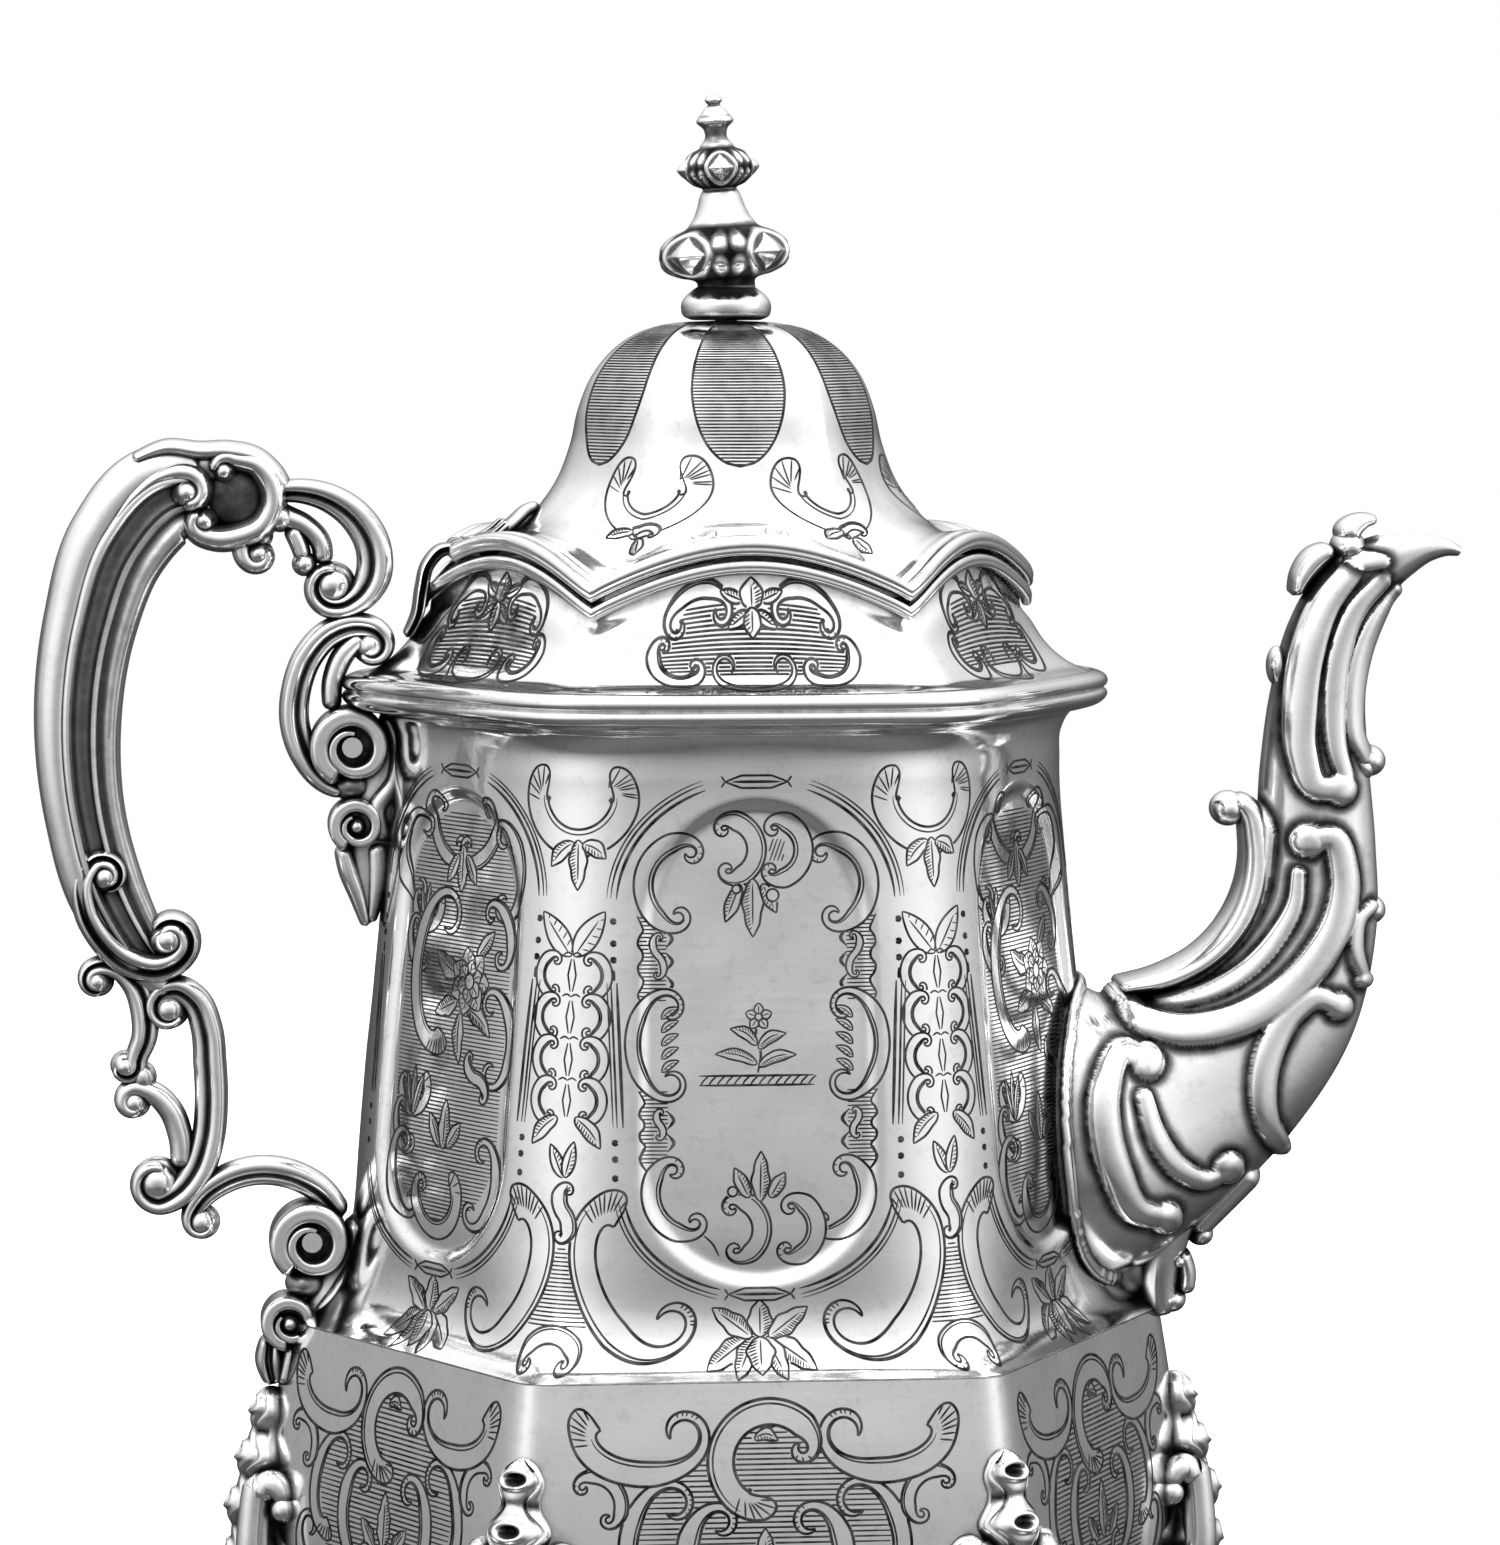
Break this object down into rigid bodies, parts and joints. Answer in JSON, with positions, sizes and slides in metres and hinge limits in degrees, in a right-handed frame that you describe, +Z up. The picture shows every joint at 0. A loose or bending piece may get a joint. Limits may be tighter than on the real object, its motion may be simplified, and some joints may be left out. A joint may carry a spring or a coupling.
{
  "type": "coffee pot",
  "caption": "Hexagonal engraved silver coffee pot on leafy scroll feet, with a hinged domed lid, a turned finial, a cast scroll spout and a cast scroll handle.",
  "frame": {"origin": "middle of the foot plane, under the middle of the overall length from handle to spout; the pot's own vertical axis stands 5 mm towards the handle", "axes": "+Z up along the pot, +X from the handle to the spout, +Y across, away from the side the picture shows"},
  "size_m": [0.2398, 0.1492, 0.3084],
  "materials": {
    "sheet_silver": "polished, engraved",
    "cast_silver": "polished relief with dark patina in the hollows",
    "plain_silver": "satin"
  },
  "bodies": {
    "pot": {"upper_body": "sheet_silver", "lower_body": "sheet_silver", "base_plate": "plain_silver", "collar": "sheet_silver", "brim_moulding": "sheet_silver", "collar_rim": "sheet_silver", "body_hinge_leaf": "plain_silver", "hinge_pin": "plain_silver", "spout_far_half": "cast_silver", "spout_near_half": "cast_silver", "spout_strainer": "plain_silver", "handle_grip": "cast_silver", "handle_upper_scroll": "cast_silver", "handle_bracket": "cast_silver", "handle_upper_socket": "cast_silver", "handle_lower_scroll": "cast_silver", "handle_lower_arm": "cast_silver", "handle_lower_socket": "cast_silver", "upper_handle_pin": "plain_silver", "lower_handle_pin": "plain_silver", "leaf_mount_1": "cast_silver", "leaf_mount_2": "cast_silver", "leaf_mount_3": "cast_silver", "leaf_mount_4": "cast_silver", "leaf_mount_5": "cast_silver", "leaf_mount_6": "cast_silver", "scroll_foot_1": "cast_silver", "scroll_foot_2": "cast_silver", "scroll_foot_3": "cast_silver", "scroll_foot_4": "cast_silver", "scroll_foot_5": "cast_silver", "scroll_foot_6": "cast_silver"},
    "lid": {"lid_dome": "sheet_silver", "lid_rim": "sheet_silver", "lid_flange": "plain_silver", "lid_hinge_leaf": "cast_silver", "finial_base": "cast_silver", "finial_stud": "plain_silver", "finial_nut": "plain_silver", "finial": "cast_silver"}
  },
  "joints": [
    {"name": "lid_hinge", "type": "hinge", "parent": "pot", "child": "lid", "pos_m": [-0.0496, 0, 0.233], "axis": [0, -1, 0], "range_deg": [0, 95]}
  ]
}
